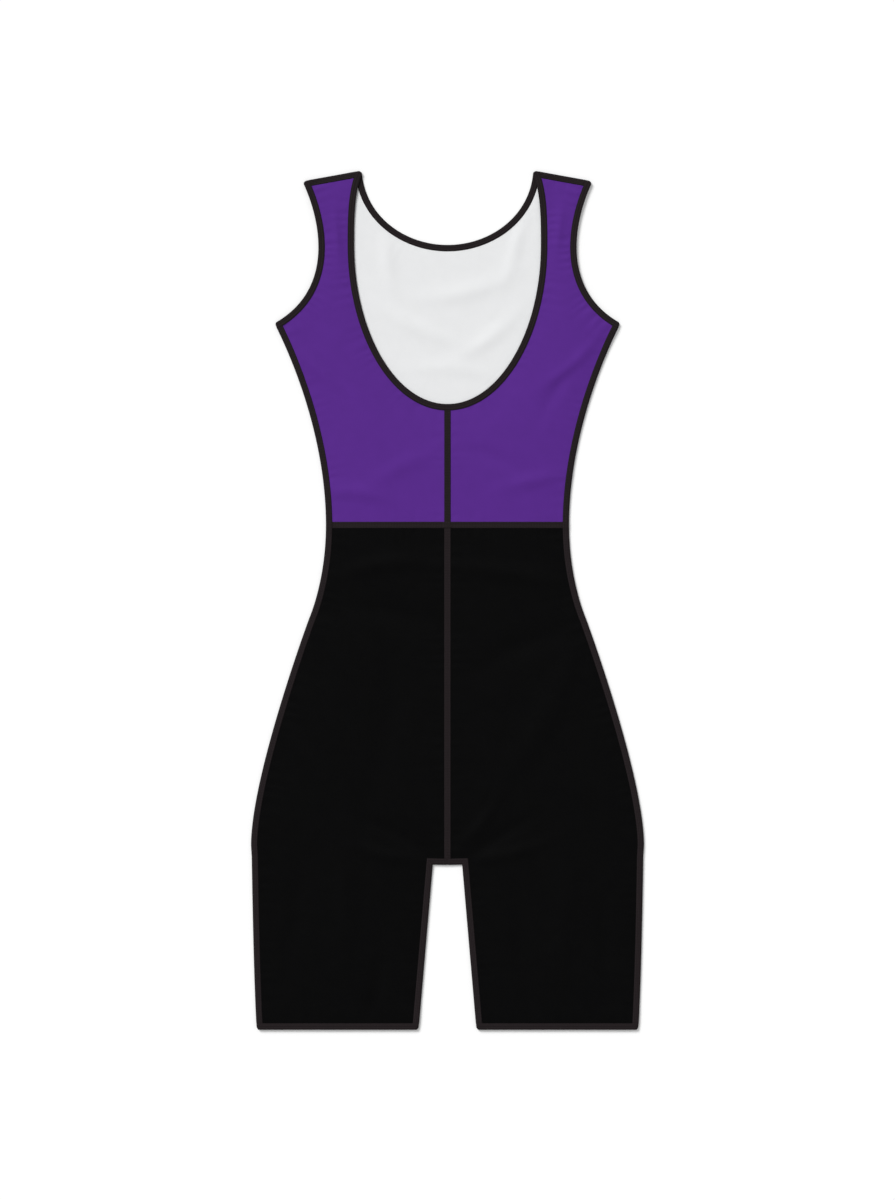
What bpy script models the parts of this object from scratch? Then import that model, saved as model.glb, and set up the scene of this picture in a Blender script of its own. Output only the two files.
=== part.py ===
"""A sleeveless, short-legged unitard in two knits, laid flat on its front with its back uppermost.

Units are metres. +Z is up, +Y runs from the leg hems to the neck, and +X is the wearer's right.
The origin is on the surface that the garment lies on, at the middle of its length and width.

The front lies on the surface and the back lies on the front. Each panel is a wall of cloth whose
plan comes from its seam lines. The neck, the armholes and the leg openings are each bound with one
closed ring of folded strip, which turns over from front to back at the seams.
"""
import math
from collections import namedtuple

import bmesh
import bpy

# Seam points of the right half: distance from the middle line, height from the middle of the length.
NECK_POINT = (0.0888, 0.4262)
SHOULDER_TIP = (0.1406, 0.4168)
UNDERARM = (0.1690, 0.2756)
SIDE_WAIST = (0.1185, 0.0750)
HIP_CURVE = (0.1356, -0.0199)
FULL_HIP = (0.1935, -0.2457)
THIGH = (0.1928, -0.2569)
HEM_OUTER = (0.1880, -0.4268)
HEM_INNER = (0.0318, -0.4268)
CROTCH_SIDE = (0.0176, -0.2617)
CROTCH_MIDDLE = (0.0, -0.2621)
WAIST_MIDDLE = (0.0, 0.0750)
BACK_SCOOP_SIDE = (0.0967, 0.3553)
BACK_SCOOP_BOTTOM = (0.0, 0.1929)
FRONT_NECK_BOTTOM = (0.0, 0.3522)

# Cloth and trim.
CLOTH = 0.0010             # wall of each panel
SEAM_GAP = 0.0003          # clear space between two neighbouring pieces
BINDING_WIDTH = 0.0062     # folded width of the strip on a raw edge
BINDING_THICKNESS = 0.0016
CROWN = 0.0022             # how far the back stands off the front away from its edges
CROWN_REACH = 0.050        # distance from an edge at which the full crown is reached
RISE_REACH = 0.025         # distance over which the back comes down beside a binding of the front

# Fineness of the solids.
CURVE_SAMPLES = 40         # samples of each cubic before it is divided evenly
BODICE_COLUMNS = 6
LEG_COLUMNS = 8
FOLD_STEPS = 4             # sections of the half turn at each end of a binding
MERGE = 0.00001
NEARLY_STRAIGHT = 0.001    # sine of the turn below which a corner counts as none
SHARP_EDGE = math.radians(35)

HALF_BINDING = BINDING_WIDTH / 2
BOUND_EDGE = -(HALF_BINDING + SEAM_GAP)     # the cloth stops short of its binding
FOLDED_EDGE = HALF_BINDING                  # the cloth turns over just outside the seam line
SHARED_SEAM = -SEAM_GAP / 2                 # two panels end side by side
FOLD_INNER = SEAM_GAP / 2
FOLD_OUTER = FOLD_INNER + BINDING_THICKNESS
FOLD_START = HALF_BINDING - FOLD_OUTER      # a binding's half turn ends flush with the folded cloth

Curve = namedtuple("Curve", "start leave arrive end")
Line = namedtuple("Line", "curves steps")


def straight(start, end):
    """A curve that runs straight between its two ends."""
    return Curve(start, start, end, end)


# Every line runs counter-clockwise round the panel of the right half that it bounds.
LINES = {
    "waist": Line([straight(WAIST_MIDDLE, SIDE_WAIST)], 1),
    "side": Line([Curve(SIDE_WAIST, (0.1185, 0.1767), (0.1644, 0.2661), UNDERARM)], 14),
    "armhole": Line([Curve(UNDERARM, (0.1135, 0.3085), (0.1207, 0.3721), SHOULDER_TIP)], 13),
    "shoulder": Line([straight(SHOULDER_TIP, NECK_POINT)], 1),
    "front_neck": Line([Curve(NECK_POINT, (0.0847, 0.3817), (0.0440, 0.3522), FRONT_NECK_BOTTOM)], 9),
    "front_centre": Line([straight(FRONT_NECK_BOTTOM, WAIST_MIDDLE)], 18),
    "back_neck": Line([
        Curve(NECK_POINT, (0.0970, 0.4080), (0.0967, 0.3754), BACK_SCOOP_SIDE),
        Curve(BACK_SCOOP_SIDE, (0.0967, 0.2670), (0.0540, 0.1929), BACK_SCOOP_BOTTOM),
    ], 19),
    "back_centre": Line([straight(BACK_SCOOP_BOTTOM, WAIST_MIDDLE)], 8),
    "leg_waist": Line([straight(SIDE_WAIST, WAIST_MIDDLE)], 1),
    "leg_centre": Line([straight(WAIST_MIDDLE, CROTCH_MIDDLE)], 16),
    "crotch": Line([straight(CROTCH_MIDDLE, CROTCH_SIDE)], 2),
    "inseam": Line([straight(CROTCH_SIDE, HEM_INNER)], 8),
    "hem": Line([straight(HEM_INNER, HEM_OUTER)], 1),
    "leg_side": Line([Curve(HEM_OUTER, (0.1898, -0.3963), (0.1915, -0.3397), THIGH)], 8),
    "thigh": Line([straight(THIGH, FULL_HIP)], 1),
    "hip": Line([
        Curve(FULL_HIP, (0.1935, -0.1784), (0.1381, -0.0264), HIP_CURVE),
        Curve(HIP_CURVE, (0.1344, -0.0168), (0.1185, 0.0202), SIDE_WAIST),
    ], 17),
}

# The lines that the back comes down to, and the bound lines of the front that it rises beside.
BACK_ENDS = (
    "side", "armhole", "shoulder", "back_neck", "crotch", "inseam", "hem", "leg_side", "thigh", "hip")
FRONT_BOUND = ("armhole", "front_neck", "hem")

# The lines round each panel, and how far its edge lies outside each line.
FRONT_BODICE = {
    "waist": SHARED_SEAM, "side": FOLDED_EDGE, "armhole": BOUND_EDGE,
    "shoulder": FOLDED_EDGE, "front_neck": BOUND_EDGE, "front_centre": 0.0,
}
BACK_BODICE = {
    "waist": SHARED_SEAM, "side": FOLDED_EDGE, "armhole": BOUND_EDGE,
    "shoulder": FOLDED_EDGE, "back_neck": BOUND_EDGE, "back_centre": SHARED_SEAM,
}
LEG = {
    "leg_waist": SHARED_SEAM, "leg_centre": SHARED_SEAM, "crotch": FOLDED_EDGE, "inseam": FOLDED_EDGE,
    "hem": BOUND_EDGE, "leg_side": FOLDED_EDGE, "thigh": FOLDED_EDGE, "hip": FOLDED_EDGE,
}

Finish = namedtuple("Finish", "colour roughness")
FINISHES = {
    "purple_knit": Finish((0.095, 0.025, 0.246), 0.70),
    "black_knit": Finish((0.004, 0.004, 0.004), 0.75),
    "charcoal_binding": Finish((0.017, 0.014, 0.014), 0.65),
}


# --- Plan -------------------------------------------------------------------------------------

def cubic_point(curve, t):
    """The point of a cubic Bezier curve at the parameter t."""
    weights = ((1 - t) ** 3, 3 * (1 - t) ** 2 * t, 3 * (1 - t) * t ** 2, t ** 3)
    return tuple(sum(weight * point[axis] for weight, point in zip(weights, curve)) for axis in (0, 1))


def evenly(points, steps):
    """Points at equal distances along a polyline, both ends included."""
    reached = [0.0]
    for before, after in zip(points, points[1:]):
        reached.append(reached[-1] + math.dist(before, after))
    result = [points[0]]
    index = 1
    for step in range(1, steps):
        target = reached[-1] * step / steps
        while reached[index] < target:
            index += 1
        share = (target - reached[index - 1]) / (reached[index] - reached[index - 1])
        before, after = points[index - 1], points[index]
        result.append(tuple(before[axis] + share * (after[axis] - before[axis]) for axis in (0, 1)))
    return result + [points[-1]]


def line_points(name):
    """A seam line of the right half, divided evenly into its own number of steps."""
    line = LINES[name]
    samples = [line.curves[0].start]
    for curve in line.curves:
        samples += [cubic_point(curve, k / CURVE_SAMPLES) for k in range(1, CURVE_SAMPLES + 1)]
    return evenly(samples, line.steps)


PLAN = {name: line_points(name) for name in LINES}


def outward_normal(start, end):
    """The unit normal on the right of a segment, which is outside a counter-clockwise loop."""
    length = math.dist(start, end)
    return ((end[1] - start[1]) / length, (start[0] - end[0]) / length)


def mitre(normal_a, reach_a, normal_b, reach_b):
    """The step from a corner to the corner of its two sides, each moved out by its own reach."""
    turn = normal_a[0] * normal_b[1] - normal_a[1] * normal_b[0]
    if abs(turn) < NEARLY_STRAIGHT:
        return (normal_a[0] * reach_a, normal_a[1] * reach_a)
    return (
        (reach_a * normal_b[1] - reach_b * normal_a[1]) / turn,
        (reach_b * normal_a[0] - reach_a * normal_b[0]) / turn,
    )


def moved_loop(reaches):
    """The lines round a closed loop, each moved outwards by its reach, with mitred corners."""
    segments = []
    for name, reach in reaches.items():
        points = PLAN[name]
        segments += [(outward_normal(start, end), reach, start) for start, end in zip(points, points[1:])]
    corners = []
    for index, (normal, reach, start) in enumerate(segments):
        last_normal, last_reach, _ = segments[index - 1]
        step = mitre(last_normal, last_reach, normal, reach)
        corners.append((start[0] + step[0], start[1] + step[1]))
    corners.append(corners[0])
    moved = {}
    first = 0
    for name in reaches:
        last = first + LINES[name].steps
        moved[name] = corners[first:last + 1]
        first = last
    return moved


def loft_rows(inner, outer, columns):
    """Rows of points between two edges of a panel that have the same number of points."""
    rows = []
    for start, end in zip(inner, outer):
        row = []
        for column in range(columns + 1):
            share = column / columns
            row.append(tuple(start[axis] + share * (end[axis] - start[axis]) for axis in (0, 1)))
        rows.append(row)
    return rows


def bodice_rows(reaches, neck, centre):
    """Rows of a bodice panel from the waist to the shoulder, each from the inner edge outwards."""
    lines = moved_loop(reaches)
    inner = (lines[neck] + lines[centre][1:])[::-1]
    outer = lines["side"] + lines["armhole"][1:]
    return loft_rows(inner, outer, BODICE_COLUMNS)


def leg_rows():
    """Rows of a leg panel from the waist to the hem, each from the inner edge outwards."""
    lines = moved_loop(LEG)
    inner = lines["leg_centre"] + lines["crotch"][1:] + lines["inseam"][1:]
    outer = (lines["leg_side"] + lines["thigh"][1:] + lines["hip"][1:])[::-1]
    return loft_rows(inner, outer, LEG_COLUMNS)


def strip_edges(reaches, line, ends):
    """Both edges of the binding on a line, as pairs of points; ends gives its neighbours' reaches."""
    outside = moved_loop({**reaches, **ends, line: HALF_BINDING})[line]
    inside = moved_loop({**reaches, **ends, line: -HALF_BINDING})[line]
    return list(zip(outside, inside))


# --- Height -----------------------------------------------------------------------------------

def distance_to_line(point, name):
    """The shortest distance in plan from a point to a seam line."""
    nearest = math.inf
    for start, end in zip(PLAN[name], PLAN[name][1:]):
        run_x, run_y = end[0] - start[0], end[1] - start[1]
        along = (point[0] - start[0]) * run_x + (point[1] - start[1]) * run_y
        share = min(1.0, max(0.0, along / (run_x ** 2 + run_y ** 2)))
        foot = (start[0] + share * run_x, start[1] + share * run_y)
        nearest = min(nearest, math.dist(point, foot))
    return nearest


def back_underside(point):
    """Height of the underside of the back panels and of the bindings' back runs.

    The back rests just above the front at every edge, crowns a little between its edges, and rises
    beside the bindings of the front so that its own bindings lie on those.
    """
    place = (abs(point[0]), point[1])
    closeness = sum(distance_to_line(place, name) ** -2 for name in BACK_ENDS)
    from_edge = max(0.0, closeness ** -0.5 - HALF_BINDING)
    crown = CROWN * math.sin(math.pi / 2 * min(1.0, from_edge / CROWN_REACH))
    from_binding = max(0.0, min(distance_to_line(place, name) for name in FRONT_BOUND) - HALF_BINDING)
    share = 1.0 - min(1.0, from_binding / RISE_REACH)
    rise = (BINDING_THICKNESS - CLOTH) * share * share * (3 - 2 * share)
    return CLOTH + SEAM_GAP + rise + crown


def front_underside(point):
    """The front lies flat on the surface."""
    return 0.0


# --- Solids -----------------------------------------------------------------------------------

def finish_object(name, bm, slot):
    """Make a named object of a closed mesh and give it its material."""
    bmesh.ops.recalc_face_normals(bm, faces=bm.faces)
    mesh = bpy.data.meshes.new(name)
    bm.to_mesh(mesh)
    bm.free()
    mesh.shade_smooth()
    mesh.set_sharp_from_angle(angle=SHARP_EDGE)
    mesh.materials.append(material(slot))
    bpy.context.scene.collection.objects.link(bpy.data.objects.new(name, mesh))


def material(slot):
    """The Principled material of a finish, made once."""
    known = bpy.data.materials.get(slot)
    if known:
        return known
    made = bpy.data.materials.new(slot)
    made.use_nodes = True
    shader = made.node_tree.nodes["Principled BSDF"]
    shader.inputs["Base Color"].default_value = (*FINISHES[slot].colour, 1.0)
    shader.inputs["Roughness"].default_value = FINISHES[slot].roughness
    shader.inputs["Metallic"].default_value = 0.0
    return made


def add_wall(bm, rows, underside, side):
    """Add a wall of cloth over rows of plan points, left open where it ends on the middle line."""
    under, over = [], []
    for row in rows:
        heights = [underside(point) for point in row]
        under.append([bm.verts.new((side * x, y, z)) for (x, y), z in zip(row, heights)])
        over.append([bm.verts.new((side * x, y, z + CLOTH)) for (x, y), z in zip(row, heights)])
    for layer in (under, over):
        for low, high in zip(layer, layer[1:]):
            for column in range(len(low) - 1):
                bm.faces.new((low[column], low[column + 1], high[column + 1], high[column]))
    rims = [
        (under[0], over[0]),
        (under[-1], over[-1]),
        ([row[0] for row in under], [row[0] for row in over]),
        ([row[-1] for row in under], [row[-1] for row in over]),
    ]
    for low, high in rims:
        for k in range(len(low) - 1):
            if max(abs(low[k].co.x), abs(low[k + 1].co.x)) > MERGE:
                bm.faces.new((low[k], low[k + 1], high[k + 1], high[k]))


def mirror_half(bm):
    """Complete a mesh of the right half that is open on the middle line."""
    geometry = bm.verts[:] + bm.edges[:] + bm.faces[:]
    bmesh.ops.mirror(bm, geom=geometry, axis="X", merge_dist=MERGE)


def make_panel(name, slot, rows, underside, side=1):
    """One cut panel; side is 1 for the wearer's right and -1 for the left."""
    bm = bmesh.new()
    add_wall(bm, rows, underside, side)
    finish_object(name, bm, slot)


def front_section(edges):
    """A section of a binding's run on the front: outer face, then inner face."""
    (ax, ay), (bx, by) = edges
    top = BINDING_THICKNESS
    return [(ax, ay, 0.0), (bx, by, 0.0), (bx, by, top), (ax, ay, top)]


def back_section(edges):
    """A section of a binding's run on the back: outer face, which is now on top, then inner face."""
    (ax, ay), (bx, by) = edges
    low_a, low_b = back_underside(edges[0]), back_underside(edges[1])
    high_a, high_b = low_a + BINDING_THICKNESS, low_b + BINDING_THICKNESS
    return [(ax, ay, high_a), (bx, by, high_b), (bx, by, low_b), (ax, ay, low_a)]


def run_on(line, seam):
    """How the end of a line moves as the seam that crosses it there moves out by one."""
    line, seam = PLAN[line], PLAN[seam]
    if line[-1] == seam[0]:
        return mitre(outward_normal(*line[-2:]), 0.0, outward_normal(*seam[:2]), 1.0)
    return mitre(outward_normal(*seam[-2:]), 1.0, outward_normal(*line[:2]), 0.0)


def half_turn(front_edges, front_way, back_edges, back_way):
    """Sections of the half turn that takes a binding from its front run up to its back run.

    Each run keeps its own way past the seam: the turn starts on the front's and is on the back's
    from its outermost point on.
    """
    sections = []
    for step in range(1, FOLD_STEPS):
        angle = math.pi * step / FOLD_STEPS
        share = min(1.0, angle / (math.pi / 2))
        section = []
        for edge, radius in ((0, FOLD_OUTER), (1, FOLD_OUTER), (1, FOLD_INNER), (0, FOLD_INNER)):
            reach = radius * math.sin(angle)
            x, y = (
                (1 - share) * (front_edges[edge][axis] + reach * front_way[axis])
                + share * (back_edges[edge][axis] + reach * back_way[axis]) for axis in (0, 1)
            )
            section.append((x, y, FOLD_OUTER - radius * math.cos(angle)))
        sections.append(section)
    return sections


def add_ring(bm, sections, side, closed):
    """Add a strip through its sections, joined end to start or left open at both ends."""
    rings = [[bm.verts.new((side * x, y, z)) for x, y, z in section] for section in sections]
    pairs = list(zip(rings, rings[1:]))
    if closed:
        pairs.append((rings[-1], rings[0]))
    for ring, following in pairs:
        for k in range(4):
            after = (k + 1) % 4
            bm.faces.new((ring[k], ring[after], following[after], following[k]))


def make_closed_binding(name, reaches, line, first_seam, last_seam, side):
    """A binding round an armhole or a leg: along the front, over, back along the back and under."""
    edges = strip_edges(reaches, line, {first_seam: FOLD_START, last_seam: FOLD_START})
    first_way, last_way = run_on(line, first_seam), run_on(line, last_seam)
    sections = [front_section(pair) for pair in edges]
    sections += half_turn(edges[-1], last_way, edges[-1], last_way)
    sections += [back_section(pair) for pair in edges[::-1]]
    sections += half_turn(edges[0], first_way, edges[0], first_way)[::-1]
    bm = bmesh.new()
    add_ring(bm, sections, side, closed=True)
    finish_object(name, bm, "charcoal_binding")


def make_neck_binding():
    """The binding round the neck: its right half from front to back, then mirrored."""
    shoulder = {"shoulder": FOLD_START}
    front_edges = strip_edges(FRONT_BODICE, "front_neck", {**shoulder, "front_centre": 0.0})[::-1]
    back_edges = strip_edges(BACK_BODICE, "back_neck", {**shoulder, "back_centre": 0.0})
    sections = [front_section(pair) for pair in front_edges]
    sections += half_turn(
        front_edges[-1], run_on("front_neck", "shoulder"), back_edges[0], run_on("back_neck", "shoulder"))
    sections += [back_section(pair) for pair in back_edges]
    bm = bmesh.new()
    add_ring(bm, sections, 1, closed=False)
    mirror_half(bm)
    finish_object("neck_binding", bm, "charcoal_binding")


def make_front_bodice():
    """The front of the bodice, cut in one piece."""
    bm = bmesh.new()
    add_wall(bm, bodice_rows(FRONT_BODICE, "front_neck", "front_centre"), front_underside, 1)
    mirror_half(bm)
    finish_object("front_bodice", bm, "purple_knit")


def clear_scene():
    """Remove whatever the scene already holds."""
    for thing in list(bpy.data.objects):
        bpy.data.objects.remove(thing, do_unlink=True)


def build():
    """Build every piece of the garment."""
    clear_scene()
    make_front_bodice()
    make_neck_binding()
    back_rows = bodice_rows(BACK_BODICE, "back_neck", "back_centre")
    for hand, side in (("left", -1), ("right", 1)):
        make_panel(f"back_bodice_{hand}", "purple_knit", back_rows, back_underside, side)
        make_panel(f"front_leg_{hand}", "black_knit", leg_rows(), front_underside, side)
        make_panel(f"back_leg_{hand}", "black_knit", leg_rows(), back_underside, side)
        make_closed_binding(f"armhole_binding_{hand}", FRONT_BODICE, "armhole", "side", "shoulder", side)
        make_closed_binding(f"leg_binding_{hand}", LEG, "hem", "inseam", "leg_side", side)


build()
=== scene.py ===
"""The looks of a sleeveless, short-legged unitard in two knits, laid flat on its front.

Metres throughout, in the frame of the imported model: +Z up, +Y from the leg hems to the neck, +X to
the wearer's right, and the surface at z = 0. The front lies on the surface and the back on the front.

Every piece is worked out from the seam lines in plan and from the heights of the front's cloth and
of the back's. Cloth is a thin closed shell; seams are bands of thread on it; bindings are closed
rings that turn over from front to back at the seams.
"""
import math
from collections import namedtuple

import bpy
import numpy as np
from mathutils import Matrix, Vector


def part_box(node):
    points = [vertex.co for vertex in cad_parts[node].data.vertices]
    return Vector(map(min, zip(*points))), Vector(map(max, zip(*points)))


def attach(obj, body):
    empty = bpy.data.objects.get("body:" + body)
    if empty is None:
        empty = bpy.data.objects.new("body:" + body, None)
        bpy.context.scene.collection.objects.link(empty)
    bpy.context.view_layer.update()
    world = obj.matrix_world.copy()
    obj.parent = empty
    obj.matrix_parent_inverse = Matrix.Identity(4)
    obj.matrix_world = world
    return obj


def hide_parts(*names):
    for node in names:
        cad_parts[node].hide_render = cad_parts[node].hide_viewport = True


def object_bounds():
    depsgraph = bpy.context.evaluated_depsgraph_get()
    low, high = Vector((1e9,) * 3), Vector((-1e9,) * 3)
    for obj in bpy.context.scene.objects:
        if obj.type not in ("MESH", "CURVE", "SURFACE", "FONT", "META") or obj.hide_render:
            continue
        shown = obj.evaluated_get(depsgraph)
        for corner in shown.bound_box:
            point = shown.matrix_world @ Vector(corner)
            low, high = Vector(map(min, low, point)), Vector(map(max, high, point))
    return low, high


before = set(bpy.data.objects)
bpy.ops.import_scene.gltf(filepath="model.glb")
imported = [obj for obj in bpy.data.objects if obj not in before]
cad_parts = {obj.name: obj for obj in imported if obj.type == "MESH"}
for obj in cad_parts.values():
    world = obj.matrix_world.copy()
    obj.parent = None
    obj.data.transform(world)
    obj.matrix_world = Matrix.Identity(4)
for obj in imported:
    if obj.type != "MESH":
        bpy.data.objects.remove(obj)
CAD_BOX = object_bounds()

MM = 0.001
SIDES = ((1, "right"), (-1, "left"))

# Seam points of the right half: distance from the middle line, height from the middle of the length.
NECK_POINT = (0.0888, 0.4262)
SHOULDER_TIP = (0.1406, 0.4168)
UNDERARM = (0.1690, 0.2756)
SIDE_WAIST = (0.1185, 0.0750)
HIP_CURVE = (0.1356, -0.0199)
FULL_HIP = (0.1935, -0.2457)
THIGH = (0.1928, -0.2569)
HEM_OUTER = (0.1880, -0.4268)
HEM_INNER = (0.0318, -0.4268)
CROTCH_SIDE = (0.0176, -0.2617)
CROTCH_MIDDLE = (0.0, -0.2621)
WAIST_MIDDLE = (0.0, 0.0750)
BACK_SCOOP_SIDE = (0.0967, 0.3553)
BACK_SCOOP_BOTTOM = (0.0, 0.1929)
FRONT_NECK_BOTTOM = (0.0, 0.3522)

# Heights and thicknesses that the solids have, read from the frame.
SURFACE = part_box("front_bodice")[0].z
CAD_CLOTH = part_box("front_bodice")[1].z - SURFACE
BINDING_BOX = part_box("leg_binding_right")
HALF_BINDING = (BINDING_BOX[1].y - BINDING_BOX[0].y) / 2
SEAM_GAP = 0.3 * MM
BINDING_THICKNESS = (BINDING_BOX[1].z - BINDING_BOX[0].z - SEAM_GAP) / 2
HALF_LINE = HALF_BINDING + 0.15 * MM        # half width of seams and bindings as they look
CROWN = 2.2 * MM
CROWN_REACH = 50 * MM
RISE_REACH = 25 * MM
EDGE_BLEND = 2               # powers by which distances to several lines run together between them
BINDING_BLEND = 5
LEAST_DISTANCE = 1e-7        # the least that a distance counts as where it divides

# The cloth as it looks.
KNIT = 0.70 * MM             # thickness of the stretch knit
FRONT_CLEARANCE = 0.25 * MM  # the front's cloth above the surface, which its own seams fill
BACK_CLEARANCE = 0.15 * MM   # the back's cloth above the underside of its solid
LAYER_GAP = 0.15 * MM        # the least between the front's cloth and the back's
FOLD_RADIUS = 0.9 * MM       # half thickness of the folded edge at the sides and shoulders
LEAST_FOLD = 0.01            # share of that radius inside which the fold is cut square
BAND = 0.40 * MM             # thickness of a seam's band of threads
CLOTH_EDGE = HALF_LINE - BAND         # the cloth's fold, inside the band that covers it
TUCKED = -1.0 * MM           # cloth that ends inside its binding
SAMPLES = 64                 # samples of each cubic curve
NEARLY_STRAIGHT = 1e-6       # sine of the turn below which a corner counts as none

# Stitched lines: how long a stitch is, how far its thread stands up, and how wide the thread is.
STITCH = 2.8 * MM
STITCH_ROWS = 4
THREAD = 0.30 * MM
HALF_THREAD = 0.34 * MM

# A seam's band of threads: height above the cloth across it, and how much thread stands there.
Column = namedtuple("Column", "across height thread")
SEAM_NEEDLES = (-2.1 * MM, -0.7 * MM, 0.7 * MM, 2.1 * MM)
SEAM_SHOULDER = (
    Column(HALF_LINE, -0.05 * MM, 0), Column(HALF_LINE - 0.1 * MM, 0.20 * MM, 0),
    Column(HALF_LINE - 0.3 * MM, 0.40 * MM, 0))
SEAM_UNDER = tuple(Column(across * MM, -0.15 * MM, 0) for across in (3.1, 2.2, 1.3, -3.1))
WRAP_STRETCH = 1.09          # a band round a folded edge is wider by the part that turns under
WRAP_FLAT = HALF_LINE + CLOTH_EDGE - FOLD_RADIUS     # of that width, the part before the cloth turns
SEAM_END = -1.5 * MM         # a seam ends this far short of the seam line of the binding over it
TUCK_LENGTH = 2.6 * MM       # over its last stretch it thins to a share of its height
TUCK_SHARE = 0.25
CENTRE_START = -2.2 * MM     # the front's centre seam starts under the band of its waist seam
PASS_OVER = 0.34 * MM        # rise of a seam where it crosses another
PASS_FLAT = 2.6 * MM
PASS_FADE = 2.6 * MM
PRESSED = 0.34               # share of a band's height on the side that the garment lies on

# A binding's section: depth of its rounded edges below each face, and its two rows of stitches.
BINDING_EDGE = (
    Column(HALF_LINE, 0.50 * MM, 0), Column(HALF_LINE - 0.07 * MM, 0.26 * MM, 0),
    Column(HALF_LINE - 0.25 * MM, 0.08 * MM, 0), Column(HALF_LINE - 0.5 * MM, 0.0, 0))
BINDING_NEEDLES = (-1.3 * MM, 1.3 * MM)
STITCH_BED = 0.18 * MM       # the faces lie this far below their stitches
TURN_STATIONS = 10
TURN_OUTER = BINDING_THICKNESS + SEAM_GAP / 2
TURN_START = HALF_LINE - TURN_OUTER      # a binding's half turn ends flush with the seams beside it

Curve = namedtuple("Curve", "start leave arrive end")


def straight(start, end):
    """A curve that runs straight between its two ends."""
    return Curve(start, start, end, end)


# Every line runs counter-clockwise round the panel of the right half that it bounds.
LINES = {
    "waist": [straight(WAIST_MIDDLE, SIDE_WAIST)],
    "side": [Curve(SIDE_WAIST, (0.1185, 0.1767), (0.1644, 0.2661), UNDERARM)],
    "armhole": [Curve(UNDERARM, (0.1135, 0.3085), (0.1207, 0.3721), SHOULDER_TIP)],
    "shoulder": [straight(SHOULDER_TIP, NECK_POINT)],
    "front_neck": [Curve(NECK_POINT, (0.0847, 0.3817), (0.0440, 0.3522), FRONT_NECK_BOTTOM)],
    "front_centre": [straight(FRONT_NECK_BOTTOM, WAIST_MIDDLE)],
    "back_neck": [
        Curve(NECK_POINT, (0.0970, 0.4080), (0.0967, 0.3754), BACK_SCOOP_SIDE),
        Curve(BACK_SCOOP_SIDE, (0.0967, 0.2670), (0.0540, 0.1929), BACK_SCOOP_BOTTOM),
    ],
    "back_centre": [straight(BACK_SCOOP_BOTTOM, WAIST_MIDDLE)],
    "leg_waist": [straight(SIDE_WAIST, WAIST_MIDDLE)],
    "leg_centre": [straight(WAIST_MIDDLE, CROTCH_MIDDLE)],
    "crotch": [straight(CROTCH_MIDDLE, CROTCH_SIDE)],
    "inseam": [straight(CROTCH_SIDE, HEM_INNER)],
    "hem": [straight(HEM_INNER, HEM_OUTER)],
    "leg_side": [Curve(HEM_OUTER, (0.1898, -0.3963), (0.1915, -0.3397), THIGH)],
    "thigh": [straight(THIGH, FULL_HIP)],
    "hip": [
        Curve(FULL_HIP, (0.1935, -0.1784), (0.1381, -0.0264), HIP_CURVE),
        Curve(HIP_CURVE, (0.1344, -0.0168), (0.1185, 0.0202), SIDE_WAIST),
    ],
}

# Rows of cloth along each line, so that both edges of a panel have the same number.
BODICE_ROWS = 7
LEG_ROWS = 10
CLOTH_STEPS = {
    "waist": 1, "side": 14 * BODICE_ROWS, "armhole": 13 * BODICE_ROWS, "shoulder": 1,
    "front_neck": 9 * BODICE_ROWS, "front_centre": 18 * BODICE_ROWS,
    "back_neck": 19 * BODICE_ROWS, "back_centre": 8 * BODICE_ROWS,
    "leg_waist": 1, "leg_centre": 16 * LEG_ROWS, "crotch": 2 * LEG_ROWS, "inseam": 8 * LEG_ROWS,
    "hem": 1, "leg_side": 8 * LEG_ROWS, "thigh": LEG_ROWS, "hip": 17 * LEG_ROWS,
}
# Distances of the cloth's columns from each edge, and the most between the columns in the middle.
EDGE_COLUMNS = np.array([0, 0.12, 0.35, 0.7, 1.2, 2.0, 3.2, 4.6, 6.2, 8.0, 10.0, 12.4, 15.2]) * MM
MIDDLE_COLUMN = 4 * MM
EDGE_SHARE = 0.36            # the most of a row's width that the columns beside one edge take

# The folded edges, the edges that the back comes down to, and the front's bound edges beside which
# the back rises.
FOLDED = ("side", "shoulder", "crotch", "inseam", "leg_side", "thigh", "hip")
BACK_BOUND = ("armhole", "back_neck", "hem")
BACK_ENDS = FOLDED + BACK_BOUND
FRONT_BOUND = ("armhole", "front_neck", "hem")
EDGES = BACK_ENDS + ("front_neck",)
MEASURED = EDGES + ("waist", "back_centre", "leg_centre")
OUTLINE = (
    "crotch", "inseam", "hem", "leg_side", "thigh", "hip", "side", "armhole", "shoulder",
    "back_neck", "back_centre", "leg_centre")

# Small puckers beside the sewn lines: spacing, height, how far they reach into the cloth, whether
# the line is measured from its end at the middle of the garment, and whether left differs from right.
Pucker = namedtuple("Pucker", "line pitch height reach from_end handed")
BACK_PUCKERS = (
    Pucker("waist", 9.5 * MM, 0.41 * MM, 9 * MM, False, True),
    Pucker("back_centre", 11.0 * MM, 0.34 * MM, 8 * MM, False, False),
    Pucker("leg_centre", 12.0 * MM, 0.37 * MM, 9 * MM, False, False),
    Pucker("back_neck", 8.5 * MM, 0.51 * MM, 10 * MM, True, True),
    Pucker("armhole", 8.0 * MM, 0.56 * MM, 10 * MM, False, True),
    Pucker("side", 10.5 * MM, 0.37 * MM, 8 * MM, False, True),
    Pucker("hip", 12.5 * MM, 0.41 * MM, 9 * MM, False, True),
    Pucker("leg_side", 12.0 * MM, 0.36 * MM, 8 * MM, False, True),
    Pucker("inseam", 10.0 * MM, 0.36 * MM, 7 * MM, False, True),
    Pucker("hem", 9.0 * MM, 0.46 * MM, 10 * MM, False, True),
    Pucker("shoulder", 8.0 * MM, 0.26 * MM, 5 * MM, False, True),
)
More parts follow.
